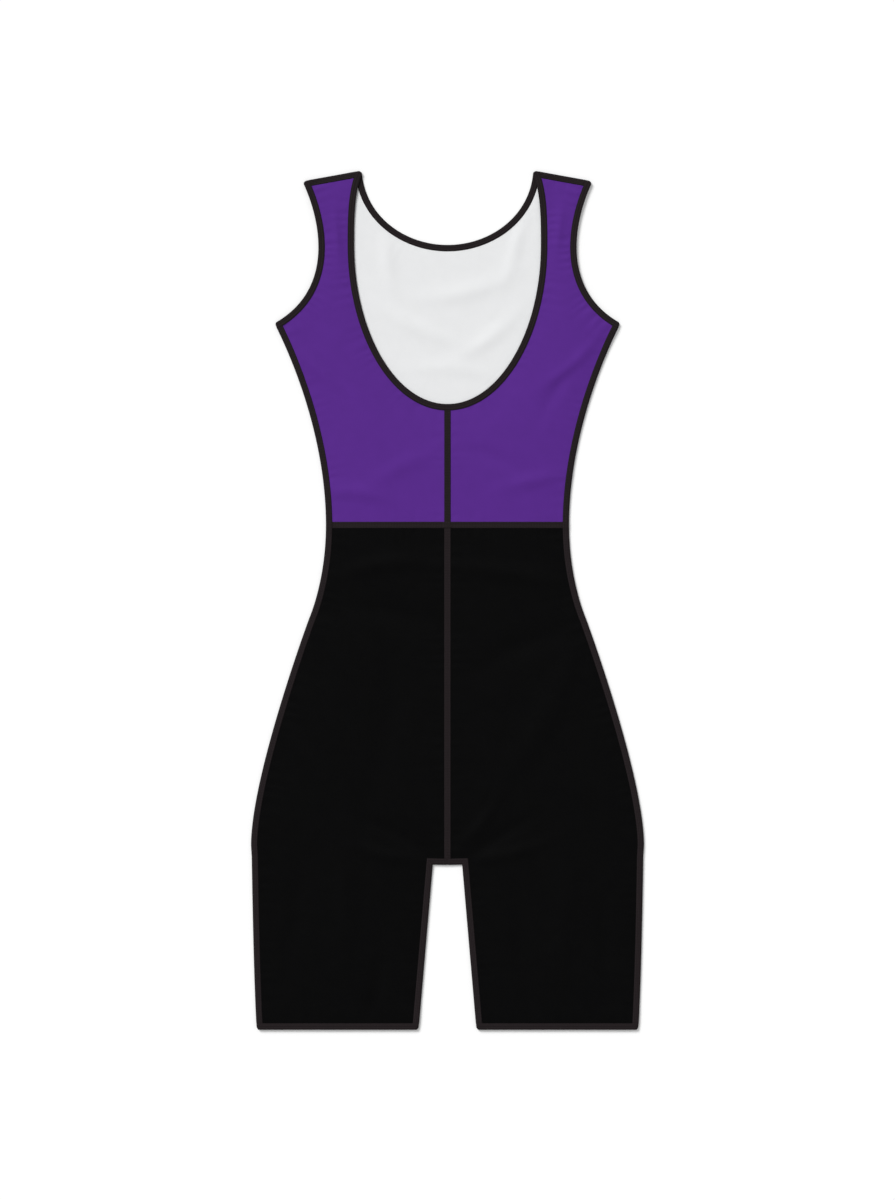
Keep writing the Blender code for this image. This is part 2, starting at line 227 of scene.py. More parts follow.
FRONT_PUCKERS = (
    Pucker("front_neck", 8.0 * MM, 0.31 * MM, 9 * MM, True, True),
)
PUCKER_RISE = 3.5 * MM       # they rise over this distance from the stitching
PUCKER_STRAYS = ((0.23, 5.3), (0.11, 2.3))   # shares of a pitch by which they stray, over so many pitches
PUCKER_SWING = 0.38          # share by which their height swings, over so many pitches, from this phase
SWING_PITCHES = 7.7
SWING_PHASE = -1.2

# Soft creases, given one by one in millimetres: the middle, the heading in degrees from +X, the
# half length and half width, the height, which is below 0 for a trough, and how far the ends bend.
Crease = namedtuple("Crease", "x y heading length width height bend")
BACK_CREASES = (
    # Drag lines that fan out from the crotch.
    Crease(34, -224, 52, 30, 6.0, 1.57, 3),
    Crease(50, -238, 33, 36, 6.5, -1.23, -2),
    Crease(64, -254, 14, 38, 7.0, 1.40, 4),
    Crease(-30, -219, 124, 34, 6.5, 1.66, -4),
    Crease(-52, -234, 150, 30, 6.0, -1.23, 2),
    Crease(-58, -256, 169, 42, 7.5, 1.40, -3),
    # Slack across the seat, below the waist.
    Crease(60, 28, 172, 50, 9.0, 1.40, 4),
    Crease(-64, 36, 9, 46, 8.5, 1.49, -5),
    Crease(-48, -14, 168, 60, 12.0, -1.23, 6),
    Crease(72, -46, 24, 50, 11.0, -1.23, -5),
    Crease(98, -118, 61, 70, 13.0, 1.57, 8),
    Crease(-112, -140, 116, 78, 14.0, 1.66, -8),
    Crease(-60, -130, 82, 90, 15.0, -1.23, 7),
    Crease(46, -160, 97, 64, 13.0, 1.05, -6),
    # Slack along the thighs.
    Crease(118, -318, 84, 80, 12.0, 1.57, 6),
    Crease(72, -352, 97, 52, 9.5, -1.23, -3),
    Crease(158, -346, 92, 46, 8.0, -1.05, 3),
    Crease(-104, -326, 93, 74, 12.0, 1.66, -6),
    Crease(-150, -306, 86, 60, 10.0, -1.23, 4),
    Crease(-68, -378, 81, 40, 8.0, -1.05, 3),
    # Ease between the underarms and the waist.
    Crease(126, 236, 42, 30, 6.0, 1.49, 3),
    Crease(110, 212, 56, 30, 6.5, -1.05, -3),
    Crease(-132, 232, 138, 34, 6.5, 1.40, -3),
    Crease(-108, 220, 125, 26, 5.5, -1.05, 2),
    Crease(86, 120, 11, 30, 7.0, 1.40, -2),
    Crease(-90, 108, 171, 34, 7.5, 1.49, 3),
    Crease(48, 142, 158, 36, 8.5, -1.05, 3),
    Crease(-46, 134, 28, 38, 8.5, 1.05, -4),
    # Straps.
    Crease(112, 372, 83, 26, 5.5, 0.79, 2),
    Crease(-110, 362, 99, 30, 5.5, 0.88, -2),
)
FRONT_CREASES = (
    # Where the back's scoop shows the front's inside.
    Crease(18, 308, 14, 44, 9.0, 0.96, 5),
    Crease(-38, 276, 152, 40, 8.0, 1.08, -4),
    Crease(42, 262, 38, 34, 7.5, 0.96, 3),
    Crease(-60, 338, 96, 34, 7.0, 0.84, -3),
    Crease(68, 352, 78, 38, 7.0, 0.90, 4),
    Crease(4, 232, 176, 36, 7.5, 0.72, 3),
    # Under the back.
    Crease(38, 118, 20, 42, 10.0, 0.60, 3),
    Crease(-52, 96, 164, 46, 11.0, 0.66, -4),
    Crease(84, -88, 66, 60, 13.0, 0.72, 5),
    Crease(-92, -124, 108, 70, 14.0, 0.78, -6),
    Crease(112, -330, 88, 60, 11.0, 0.66, 4),
    Crease(-98, -310, 94, 64, 12.0, 0.72, -4),
)
CREASE_FADE = 12 * MM        # they die away over this distance from a binding

# Materials. A mottle is how far the shade wanders either side of 1.
Look = namedtuple("Look", "colour roughness specular sheen mottle")
KNITS = {
    "purple_knit": Look((0.0965, 0.0227, 0.2565), 0.60, 0.07, 0.03, 0.05),
    "black_knit": Look((0.0021, 0.0021, 0.0022), 0.50, 0.02, 0.0, 0.20),
    "grey_inside": Look((0.8560, 0.8635, 0.8710), 0.85, 0.10, 0.0, 0.02),
}
STRIPS = {
    "charcoal_binding": Look((0.0160, 0.0122, 0.0132), 0.60, 0.035, 0.0, 0.10),
    "charcoal_seam": Look((0.0155, 0.0118, 0.0128), 0.55, 0.035, 0.0, 0.10),
}
MOTTLE_SCALE = 70.0          # patches of shade in a metre
MOTTLE_DETAIL = 3.0
SHEEN_ROUGHNESS = 0.4
WALE = 0.60 * MM             # width of a column of knitted loops
COURSE = 0.50 * MM           # height of a loop
LOOP_SLANT = 1.2             # rise over run of each half of a loop
LOOP_DIP = 0.25              # share of the relief that comes and goes along a column
LOOP_RELIEF = 0.06 * MM
LOOP_SHINE = 0.14            # how much smoother the tops of loops and threads are than the hollows
KNIT_PAINTED_SHADES = (0.92, 1.05)   # painted shade in the hollows and painted light on the tops, as factors on the colour
RIB = 0.55 * MM              # ribs across the binding's tape
THREAD_PITCH = 0.45 * MM     # threads laid across a seam
THREAD_SLANT = 0.6           # rise over run of those threads
THREAD_RELIEF = 0.05 * MM
# Painted shade between the threads and painted light on their tops, as factors on the colour.
THREAD_PAINTED_SHADES = (0.75, 1.05)
STITCH_SHADE = 1.0           # how much paler the needles' stitches are than what they hold

# The room.
CAMERA_LENS = 100.0          # millimetres, on a sensor 36 mm along the picture's longer side
CAMERA_SENSOR = 36.0
PICTURE_LENGTH = 1.2         # metres of the surface from the picture's top to its bottom
FLOOR_SIZE = 8.0
FLOOR_DROP = 0.05 * MM
FLOOR_COLOUR = (0.9, 0.9, 0.9, 1.0)
FLOOR_ROUGHNESS = 0.9
FLOOR_GLOW = 0.12            # brings the floor up to white where it is seen
WHITE = (1.0, 1.0, 1.0, 1.0)
SKY = 0.46                   # share of the light that comes from all round
SUN_HEIGHT = 40.0            # degrees
SUN_HEADING = 130.0          # degrees from +X, towards the upper left
SUN_SPREAD = 26.0


# --- Plan -------------------------------------------------------------

def samples(name):
    """A seam line of the right half: both ends of a straight one, or closely spaced points."""
    parts = []
    for curve in LINES[name]:
        start, leave, arrive, end = (np.array(point) for point in curve)
        steps = 1 if curve.start == curve.leave else SAMPLES
        t = np.linspace(0.0, 1.0, steps + 1)[:, None]
        u = 1 - t
        parts.append(u ** 3 * start + 3 * u ** 2 * t * leave + 3 * u * t ** 2 * arrive + t ** 3 * end)
    return np.vstack([parts[0]] + [part[1:] for part in parts[1:]])


def reached(points):
    """How far along a polyline each of its points is."""
    steps = np.diff(points, axis=0)
    return np.concatenate([[0.0], np.cumsum(np.hypot(steps[:, 0], steps[:, 1]))])


FINE = {name: samples(name) for name in LINES}
LENGTH = {name: reached(points)[-1] for name, points in FINE.items()}


def divided(points, steps):
    """A polyline divided into equal steps."""
    along = reached(points)
    wanted = np.linspace(0.0, along[-1], steps + 1)
    return np.column_stack([np.interp(wanted, along, points[:, axis]) for axis in (0, 1)])


def outward(runs):
    """Unit normals on the right of each step of a counter-clockwise loop."""
    return np.column_stack([runs[:, 1], -runs[:, 0]]) / np.hypot(runs[:, 0], runs[:, 1])[:, None]


def moved_loop(reaches, steps):
    """The lines round a closed loop, each moved outwards by its reach and divided into its steps."""
    starts = np.vstack([FINE[name][:-1] for name in reaches])
    counts = [len(FINE[name]) - 1 for name in reaches]
    reach = np.repeat([float(value) for value in reaches.values()], counts)
    normal = outward(np.roll(starts, -1, axis=0) - starts)
    last_normal, last_reach = np.roll(normal, 1, axis=0), np.roll(reach, 1)
    turn = last_normal[:, 0] * normal[:, 1] - last_normal[:, 1] * normal[:, 0]
    bent = np.abs(turn) > NEARLY_STRAIGHT
    step = normal * reach[:, None]
    step[bent, 0] = (last_reach * normal[:, 1] - reach * last_normal[:, 1])[bent] / turn[bent]
    step[bent, 1] = (reach * last_normal[:, 0] - last_reach * normal[:, 0])[bent] / turn[bent]
    corners = starts + step
    corners = np.vstack([corners, corners[:1]])
    moved, first = {}, 0
    for name, count in zip(reaches, counts):
        moved[name] = divided(corners[first:first + count + 1], steps[name])
        first += count
    return moved


def joined(lines, names):
    """Neighbouring lines of a loop as one."""
    return np.vstack([lines[names[0]]] + [lines[name][1:] for name in names[1:]])


def nearest(points, line):
    """Distance from each point to a polyline, and how far along it the nearest place is."""
    start, run = line[:-1], np.diff(line, axis=0)
    length = np.hypot(run[:, 0], run[:, 1])
    offset = points[:, None, :] - start[None]
    share = np.clip((offset * run).sum(axis=2) / length ** 2, 0.0, 1.0)
    away = offset - share[..., None] * run
    distance = np.hypot(away[..., 0], away[..., 1])
    best = distance.argmin(axis=1)
    row = np.arange(len(points))
    return distance[row, best], reached(line)[best] + share[row, best] * length[best]


def right_half(points):
    """The same points folded over onto the right half."""
    return np.column_stack([np.abs(points[:, 0]), points[:, 1]])


def near_lines(points):
    """For each measured line, every point's distance to it and how far along it the nearest place is."""
    place = right_half(points)
    return {name: nearest(place, FINE[name]) for name in MEASURED}


def rounded(points, reach):
    """Plan points drawn in towards the nearest edge line, to no further from it than their reach."""
    place, near = right_half(points), near_lines(points)
    foot, least = place.copy(), np.full(len(place), np.inf)
    for name in EDGES:
        line = FINE[name]
        away, along = near[name]
        nearer = away < least
        on_line = reached(line)
        found = np.column_stack([np.interp(along, on_line, line[:, axis]) for axis in (0, 1)])
        foot[nearer], least[nearer] = found[nearer], away[nearer]
    share = np.minimum(1.0, np.maximum(reach, LEAST_DISTANCE) / np.maximum(least, LEAST_DISTANCE))
    drawn = foot + (place - foot) * np.where(reach > 0, share, 1.0)[:, None]
    return drawn * np.column_stack([np.where(points[:, 0] < 0, -1.0, 1.0), np.ones(len(points))])


# --- Height -----------------------------------------------------------

def smooth_step(share):
    """0 to 1 with a level start and end."""
    share = np.clip(share, 0.0, 1.0)
    return share * share * (3 - 2 * share)


def blended(near, names, power):
    """Distance to several lines, run together where they are about as far away."""
    closeness = sum(np.maximum(near[name][0], LEAST_DISTANCE) ** -power for name in names)
    return closeness ** (-1 / power)


def back_underside(near):
    """Underside of the back's solids: at rest on the front at each edge, crowned in between."""
    from_edge = np.maximum(0.0, blended(near, BACK_ENDS, EDGE_BLEND) - HALF_BINDING)
    crown = CROWN * np.sin(math.pi / 2 * np.minimum(1.0, from_edge / CROWN_REACH))
    from_binding = np.maximum(0.0, blended(near, FRONT_BOUND, BINDING_BLEND) - HALF_BINDING)
    rise = smooth_step(1.0 - from_binding / RISE_REACH)
    return SURFACE + CAD_CLOTH + SEAM_GAP + (BINDING_THICKNESS - CAD_CLOTH) * rise + crown


def creased(points, near, creases, bound):
    """Height of the listed creases, which die away towards the bound edges."""
    height = np.zeros(len(points))
    for crease in creases:
        heading = math.radians(crease.heading)
        dx, dy = points[:, 0] / MM - crease.x, points[:, 1] / MM - crease.y
        along = (dx * math.cos(heading) + dy * math.sin(heading)) / crease.length
        across = dy * math.cos(heading) - dx * math.sin(heading) - crease.bend * along ** 2
        height += crease.height * MM * np.exp(-along ** 2 - (across / crease.width) ** 2)
    from_bound = np.min([near[name][0] for name in bound], axis=0)
    return height * smooth_step((from_bound - HALF_BINDING) / CREASE_FADE)


def puckered(points, near, puckers):
    """Height of the uneven little waves that stitching draws up beside each line."""
    height = np.zeros(len(points))
    for pucker in puckers:
        away, along = near[pucker.line]
        if pucker.from_end:
            along = LENGTH[pucker.line] - along
        if pucker.handed:
            along = along * np.sign(points[:, 0])
        turns = along / pucker.pitch
        swing = np.sin(math.tau * turns / SWING_PITCHES + SWING_PHASE)
        turns = turns + sum(share * np.sin(math.tau * turns / over) for share, over in PUCKER_STRAYS)
        beside = np.maximum(0.0, away - HALF_BINDING)
        fade = smooth_step(beside / PUCKER_RISE) * np.exp(-beside / pucker.reach)
        swell = 1 - PUCKER_SWING + PUCKER_SWING * swing
        height += pucker.height * swell * fade * np.sin(math.tau * turns)
    return height


def undersides(points):
    """Undersides of the front's cloth, which lies on the surface, and of the back's, which lies on it."""
    near = near_lines(points)
    level = back_underside(near)
    swell = creased(points, near, FRONT_CREASES, FRONT_BOUND) + puckered(points, near, FRONT_PUCKERS)
    room = level - SURFACE - FRONT_CLEARANCE - KNIT - LAYER_GAP
    front = SURFACE + FRONT_CLEARANCE + np.clip(swell, 0.0, room)
    swell = creased(points, near, BACK_CREASES, BACK_BOUND) + puckered(points, near, BACK_PUCKERS)
    back = np.maximum(level + BACK_CLEARANCE + swell, front + KNIT + LAYER_GAP)
    return front, back


def cloth_faces(points):
    """Lower and upper face of the front's cloth, and of the back's, which meet at every folded edge."""
    place = right_half(points)
    from_fold = np.min([nearest(place, CLOTH_OUTLINE[name])[0] for name in FOLDED], axis=0)
    inwards = np.clip(from_fold / FOLD_RADIUS, LEAST_FOLD, 1.0)
    share = np.sqrt(1 - (1 - inwards) ** 2)
    front, back = undersides(points)
    middle = (front + KNIT + back) / 2
    levels = [middle + share * (level - middle) for level in (front, front + KNIT, back, back + KNIT)]
    return levels[:2], levels[2:]


OUTLINE_STEPS = {name: len(FINE[name]) - 1 for name in LINES}
CLOTH_OUTLINE = moved_loop({name: CLOTH_EDGE if name in FOLDED else 0.0 for name in OUTLINE}, OUTLINE_STEPS)


# --- Meshes -----------------------------------------------------------

def sided(points, side):
    """Plan points of the right half, or of the left for a side of -1."""
    return points * np.array([side, 1.0])


def grid_quads(index):
    """The quads of a grid of point numbers."""
    corners = [index[:-1, :-1], index[:-1, 1:], index[1:, 1:], index[1:, :-1]]
    return np.stack(corners, axis=-1).reshape(-1, 4)


def area_vectors(points, quads):
    """Half the cross product of each quad's diagonals."""
    corner = points[quads]
    return np.cross(corner[:, 2] - corner[:, 0], corner[:, 3] - corner[:, 1]) / 2


def open_edges(quads, count):
    """The edges that only one quad has, in that quad's own direction."""
    edges = np.concatenate([quads[:, [k, (k + 1) % 4]] for k in range(4)])
    forward = edges[:, 0] * count + edges[:, 1]
    backward = edges[:, 1] * count + edges[:, 0]
    return edges[~np.isin(forward, backward)]


def new_piece(name, points, faces, materials, face_materials=None, run=None):
    """A smooth mesh on the garment's one body. run gives each point's place along and across a strip."""
    mesh = bpy.data.meshes.new(name)
    mesh.from_pydata(points, [], faces, shade_flat=False)
    for material in materials:
        mesh.materials.append(material)
    if face_materials is not None:
        mesh.polygons.foreach_set("material_index", face_materials)
    if run is not None:
        attribute = mesh.attributes.new("run", "FLOAT_VECTOR", "POINT")
        attribute.data.foreach_set("vector", np.ascontiguousarray(run, dtype=np.float32).ravel())
    piece = bpy.data.objects.new(name, mesh)
    bpy.context.scene.collection.objects.link(piece)
    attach(piece, "root")
    return piece


def cloth_piece(name, plan, quads, levels, materials, inside_up):
    """A closed thin shell of cloth between two levels; materials are its outside's and its inside's."""
    lower, upper = levels
    count = len(plan)
    points = np.vstack([np.column_stack([plan, upper]), np.column_stack([plan, lower])])
    if area_vectors(points, quads)[:, 2].sum() < 0:
        quads = quads[:, ::-1]
    rim = open_edges(quads, count)
    rims = np.column_stack([rim[:, 1], rim[:, 0], rim[:, 0] + count, rim[:, 1] + count])
    faces = np.vstack([quads, quads[:, ::-1] + count, rims])
    sides = np.repeat([int(inside_up), int(not inside_up), 0], [len(quads), len(quads), len(rims)])
    return new_piece(name, points, faces, materials, face_materials=sides)


def strip_piece(name, sections, run, material, closed=False):
    """A strip through its sections, joined end to start or closed off at both ends."""
    stations, size = sections.shape[:2]
    index = np.arange(stations * size).reshape(stations, size)
    ends = [index[0, ::-1].tolist(), index[-1].tolist()]
    if closed:
        index = np.vstack([index, index[:1]])
        ends = []
    quads = grid_quads(np.hstack([index, index[:, :1]]))
    points = sections.reshape(-1, 3)
    from_middle = points[quads].mean(axis=1) - points.mean(axis=0)
    faces = quads.tolist() + ends
    if (area_vectors(points, quads) * from_middle).sum() < 0:
        faces = [face[::-1] for face in faces]
    piece = new_piece(name, points, faces, [material], run=run)
    return piece


def run_of(sections, across, thread):
    """Place along a strip, from the middles of its sections, place across it, and thread on it."""
    middles = sections.mean(axis=1)
    steps = np.linalg.norm(np.diff(middles, axis=0), axis=1)
    along = np.concatenate([[0.0], np.cumsum(steps)])
    place = np.zeros(sections.shape)
    place[..., 0] = along[:, None]
    place[..., 1] = across
    place[..., 2] = thread * stitch_swell(len(sections))[:, None]
    return place


# --- Cloth ------------------------------------------------------------

def loft(inner, outer):
    """Rows of plan points between two edges of a panel, closer together near both."""
    way = outer - inner
    width = np.hypot(way[:, 0], way[:, 1])[:, None]
    margin = EDGE_COLUMNS[-1]
    steps = math.ceil((width.max() - 2 * margin) / MIDDLE_COLUMN)
    share = np.arange(1, steps) / steps
    squeeze = np.minimum(1.0, EDGE_SHARE * width / margin)
    across = np.hstack([
        squeeze * EDGE_COLUMNS,
        squeeze * margin + share * (width - 2 * squeeze * margin),
        width - squeeze * EDGE_COLUMNS[::-1],
    ])
    return inner[:, None] + (across / width)[..., None] * way[:, None]


def bodice_rows(neck, centre, centre_reach):
    """Rows of the bodice's right half from the waist to the shoulder, from the middle outwards."""
    reaches = {
        "waist": -SEAM_GAP / 2, "side": CLOTH_EDGE, "armhole": TUCKED, "shoulder": CLOTH_EDGE,
        neck: TUCKED, centre: centre_reach,
    }
    lines = moved_loop(reaches, CLOTH_STEPS)
    return loft(joined(lines, (neck, centre))[::-1], joined(lines, ("side", "armhole")))


def leg_rows():
    """Rows of a leg panel from the waist to the hem, from the middle outwards."""
    reaches = {
        "leg_waist": -SEAM_GAP / 2, "leg_centre": -SEAM_GAP / 2, "crotch": CLOTH_EDGE,
        "inseam": CLOTH_EDGE, "hem": TUCKED, "leg_side": CLOTH_EDGE, "thigh": CLOTH_EDGE, "hip": CLOTH_EDGE,
    }
    lines = moved_loop(reaches, CLOTH_STEPS)
    outer = joined(lines, ("leg_side", "thigh", "hip"))[::-1]
    return loft(joined(lines, ("leg_centre", "crotch", "inseam")), outer)


Panel = namedtuple("Panel", "piece node slot rows halves rests_on")


def declare_cloth(panel):
    """Hide the solid that a panel stands for."""
    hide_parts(panel.node)


def make_front_bodice(looks):
    """The front of the bodice in one piece, which lies with its pale inside uppermost."""
    rows = bodice_rows("front_neck", "front_centre", 0.0)
    right = np.arange(rows[..., 0].size).reshape(rows.shape[:2])
    left = right + right.size
    shared = CLOTH_STEPS["front_centre"] + 1
    left[:shared, 0] = right[:shared, 0]
    quads = np.vstack([grid_quads(right), grid_quads(left)[:, ::-1]])
    plan = np.vstack([rows.reshape(-1, 2), sided(rows.reshape(-1, 2), -1)])
    used, quads = np.unique(quads, return_inverse=True)
    front, _ = cloth_faces(plan[used])
    piece = cloth_piece(
        "front_bodice_cloth", plan[used], quads.reshape(-1, 4), front,
        [looks["purple_knit"], looks["grey_inside"]], inside_up=True)
    return Panel(piece, "front_bodice", "purple_knit", rows, 2, [])


def make_panel(node, slot, rows, plan, levels, materials, rests_on):
    """A back bodice, or a leg panel, which rests on nothing where it is a front one."""
    quads = grid_quads(np.arange(rows[..., 0].size).reshape(rows.shape[:2]))
    piece = cloth_piece(node + "_cloth", plan, quads, levels, materials, inside_up=not rests_on)
    return Panel(piece, node, slot, rows, 1, rests_on)


def make_cloth(looks):
    """All seven panels."""
    panels = [make_front_bodice(looks)]
    back = bodice_rows("back_neck", "back_centre", -SEAM_GAP / 2)
    leg = leg_rows()
    knit = [looks["purple_knit"], looks["grey_inside"]]
    black = [looks["black_knit"]] * 2
    for side, hand in SIDES:
        plan = sided(leg.reshape(-1, 2), side)
        front_levels, back_levels = cloth_faces(plan)
        under = "front_leg_" + hand
        panels.append(make_panel(under, "black_knit", leg, plan, front_levels, black, []))
        panels.append(make_panel(
            "back_leg_" + hand, "black_knit", leg, plan, back_levels, black, [under + "_cloth"]))
        plan = sided(back.reshape(-1, 2), side)
        _, back_levels = cloth_faces(plan)
        panels.append(make_panel(
            "back_bodice_" + hand, "purple_knit", back, plan, back_levels, knit, ["front_bodice_cloth"]))
    return panels


# --- Seams ------------------------------------------------------------

def needle_columns(needles):
    """Three columns for each needle's thread: both sides and the ridge."""
    return tuple(
        Column(needle + step * HALF_THREAD, 0.0, 1 - abs(step))
        for needle in needles for step in (-1, 0, 1))


def mirrored_columns(edge, middle):
    """Columns from one edge of a face to the other."""
    first = tuple(Column(-column.across, column.height, column.thread) for column in edge)
    return first + middle + edge[::-1]


BAND_TOP = mirrored_columns(
    SEAM_SHOULDER,
    tuple(Column(column.across, BAND, column.thread) for column in needle_columns(SEAM_NEEDLES)))
BAND_SECTION = BAND_TOP + SEAM_UNDER
BAND_ACROSS = np.array([column.across for column in BAND_SECTION])
BAND_THREAD = np.array([column.thread for column in BAND_SECTION])
SEAM_STEPS = {name: STITCH_ROWS * max(1, round(LENGTH[name] / STITCH)) for name in LINES}


def stitch_swell(stations):
    """How far the thread stands up at each station of a stitched line, from 0 to 1."""
    return np.sqrt(np.sin(math.pi * (np.arange(stations) % STITCH_ROWS) / STITCH_ROWS))


def passed_over(distance):
    """Rise of a seam over another seam that runs across it at this distance."""
    return PASS_OVER * (1 - smooth_step((np.abs(distance) - PASS_FLAT) / PASS_FADE))


def over_nothing(plan):
    """Rise of a seam that passes over no other."""
    return np.zeros(len(plan))


def over_waist(plan):
    """Rise of a seam over the waist seam."""
    return passed_over(plan[:, 1] - WAIST_MIDDLE[1])


def over_centre(plan):
    """Rise of a seam over the centre seams."""
    return passed_over(plan[:, 0])


def band_heights(stations):
    """Height above the cloth of a band's sections, and of the thread on it; both ends are tucked away."""
    station = np.arange(stations)
    from_end = np.minimum(station, station[::-1]) * STITCH / STITCH_ROWS
    tuck = TUCK_SHARE + (1 - TUCK_SHARE) * np.clip(from_end / TUCK_LENGTH, 0.0, 1.0)
    band = tuck[:, None] * np.array([column.height for column in BAND_SECTION])
    thread = tuck[:, None] * THREAD * BAND_THREAD * stitch_swell(stations)[:, None]
    return band, thread


def band_piece(name, sections, looks):
    """Make a seam of its band's sections."""
    strip_piece(name, sections, run_of(sections, BAND_ACROSS, BAND_THREAD), looks["charcoal_seam"])


def straight_band(name, start, end, below, looks, passed=over_nothing):
    """A band along a straight seam on the back's upper side, or pressed on the front's underside."""
    start, end = np.array(start), np.array(end)
    length = float(np.hypot(*(end - start)))
    stations = STITCH_ROWS * round(length / STITCH) + 1
    share = np.linspace(0.0, 1.0, stations)[:, None, None]
    across = np.array([start[1] - end[1], end[0] - start[0]]) / length
    plan = start + share * (end - start) + BAND_ACROSS[:, None] * across
    flat = plan.reshape(-1, 2)
    height = sum(band_heights(stations)).ravel()
    front, back = undersides(flat)
    level = front - PRESSED * height if below else back + KNIT + height + passed(flat)
    band_piece(name, np.column_stack([flat, level]).reshape(stations, -1, 3), looks)


def wrapped_sections(names, ends, side, passed=over_nothing):
    """Sections of a band on the back along a folded edge, which turns round the fold."""
    stations = sum(SEAM_STEPS[name] for name in names) + 1
    band, thread = band_heights(stations)
    reached_across = (BAND_ACROSS + HALF_LINE) * WRAP_STRETCH
    angle = math.pi / 2 - np.maximum(0.0, reached_across - WRAP_FLAT) / FOLD_RADIUS
    centre = np.minimum(reached_across, WRAP_FLAT) - HALF_LINE

    def moved(reach):
        reaches = {name: reach if name in names else ends.get(name, 0.0) for name in OUTLINE}
        return joined(moved_loop(reaches, SEAM_STEPS), names)

    sections = np.zeros((stations, len(BAND_SECTION), 3))
    for k in range(len(BAND_SECTION)):
        on_fold = centre[k] + math.cos(angle[k]) * FOLD_RADIUS
        on_cloth = moved(on_fold)
        outwards = (moved(on_fold + MM) - on_cloth) / MM
        plan = sided(on_cloth + outwards * (band[:, k] * math.cos(angle[k]))[:, None], side)
        front, back = undersides(plan)
        middle = (front + back + KNIT) / 2
        rise = back + KNIT - middle + band[:, k] + thread[:, k] + passed(plan)
        sections[:, k, :2] = plan
        sections[:, k, 2] = middle + rise * math.sin(angle[k])
    return sections


def make_seams(looks):
    """Every seam that isn't a binding."""
    waist = WAIST_MIDDLE[1]
    back_end = SIDE_WAIST[0] + TUCKED
    front_end = SIDE_WAIST[0] + CLOTH_EDGE - FOLD_RADIUS / 2
    scoop = (0.0, BACK_SCOOP_BOTTOM[1] + SEAM_END)
    crotch = (0.0, CROTCH_MIDDLE[1] - TUCKED)
    straight_band("centre_back_seam", scoop, crotch, False, looks)
    straight_band("waist_seam_back", (-back_end, waist), (back_end, waist), False, looks, over_centre)
    straight_band("centre_front_seam", (0.0, waist + CENTRE_START), crotch, True, looks)
    straight_band("waist_seam_front", (-front_end, waist), (front_end, waist), True, looks)
    for side, hand in SIDES:
        flank = wrapped_sections(
            ("leg_side", "thigh", "hip", "side"), {"hem": SEAM_END, "armhole": SEAM_END}, side, over_waist)
        band_piece("side_seam_" + hand, flank, looks)
        shoulder = wrapped_sections(("shoulder",), {"armhole": SEAM_END, "back_neck": SEAM_END}, side)
        band_piece("shoulder_seam_" + hand, shoulder, looks)
    inseams = [
        wrapped_sections(("crotch", "inseam"), {"hem": SEAM_END}, side, over_centre) for side in (-1, 1)]
    band_piece("inseam", np.concatenate([inseams[0][:0:-1], inseams[1]]), looks)


# --- Bindings ---------------------------------------------------------

BINDING_FACE = mirrored_columns(BINDING_EDGE, needle_columns(BINDING_NEEDLES))
FACE_ACROSS = np.array([column.across for column in BINDING_FACE])
FACE_DEPTH = np.array([column.height for column in BINDING_FACE])
FACE_THREAD = np.array([column.thread for column in BINDING_FACE])
BINDING_ACROSS = np.concatenate([FACE_ACROSS, FACE_ACROSS[::-1]])
BINDING_THREAD = np.concatenate([FACE_THREAD, FACE_THREAD[::-1]])


def binding_depths(swell):
    """Depth of every point of a binding's sections below its outer face."""
    depth = FACE_DEPTH + STITCH_BED * (1 - FACE_THREAD * swell[:, None])
    return np.hstack([depth, BINDING_THICKNESS - depth[:, ::-1]])


def strip_plan(reaches, line, ends):
    """Plan of the binding on a line, station by station; ends gives its neighbours' reaches."""
    across = [moved_loop({**reaches, **ends, line: reach}, SEAM_STEPS)[line] for reach in FACE_ACROSS]
    face = np.stack(across, axis=1)
    return np.concatenate([face, face[:, ::-1]], axis=1)


def round_corner(plan, reach):
    """Round off the outer corners of a binding's sections that reach this far past their seam."""
    limit = np.where(BINDING_ACROSS > 0, np.maximum(BINDING_ACROSS, TURN_START + reach), 0.0)
    limit = np.broadcast_to(limit, plan.shape[:2])
    return rounded(plan.reshape(-1, 2), limit.ravel()).reshape(plan.shape)


def front_run(plan):
    """A binding's run on the front, outer face down."""
    depth = binding_depths(stitch_swell(len(plan)))
    return np.dstack([round_corner(plan, 0.0), SURFACE + depth])


def back_run(plan):
    """A binding's run on the back, outer face up."""
    depth = binding_depths(stitch_swell(len(plan)))
    plan = round_corner(plan, 0.0)
    level = back_underside(near_lines(plan.reshape(-1, 2))).reshape(depth.shape)
    return np.dstack([plan, level + BINDING_THICKNESS - depth])


def run_on(line, seam):
    """How the end of a line moves as the seam that crosses it there moves out by one."""
    line, seam = FINE[line], FINE[seam]
    at_end = np.allclose(line[-1], seam[0])
    runs = np.array([line[-1] - line[-2], seam[1] - seam[0]] if at_end else
                    [line[1] - line[0], seam[-1] - seam[-2]])
    across_line, across_seam = outward(runs)
    turn = across_line[0] * across_seam[1] - across_line[1] * across_seam[0]
    return np.array([-across_line[1], across_line[0]]) / turn


def half_turn(front_plan, front_way, back_plan, back_way):
    """Sections that take a binding from the end of its front run up to its back run."""
    angle = math.pi * np.arange(1, TURN_STATIONS) / TURN_STATIONS
    radius = TURN_OUTER - binding_depths(np.zeros(len(angle)))
    reach = radius * np.sin(angle)[:, None]
    share = np.clip(angle / (math.pi / 2), 0.0, 1.0)[:, None, None]
    plan = (1 - share) * (front_plan + reach[..., None] * front_way) + share * (
        back_plan + reach[..., None] * back_way)
    return np.dstack([round_corner(plan, reach), SURFACE + TURN_OUTER - radius * np.cos(angle)[:, None]])


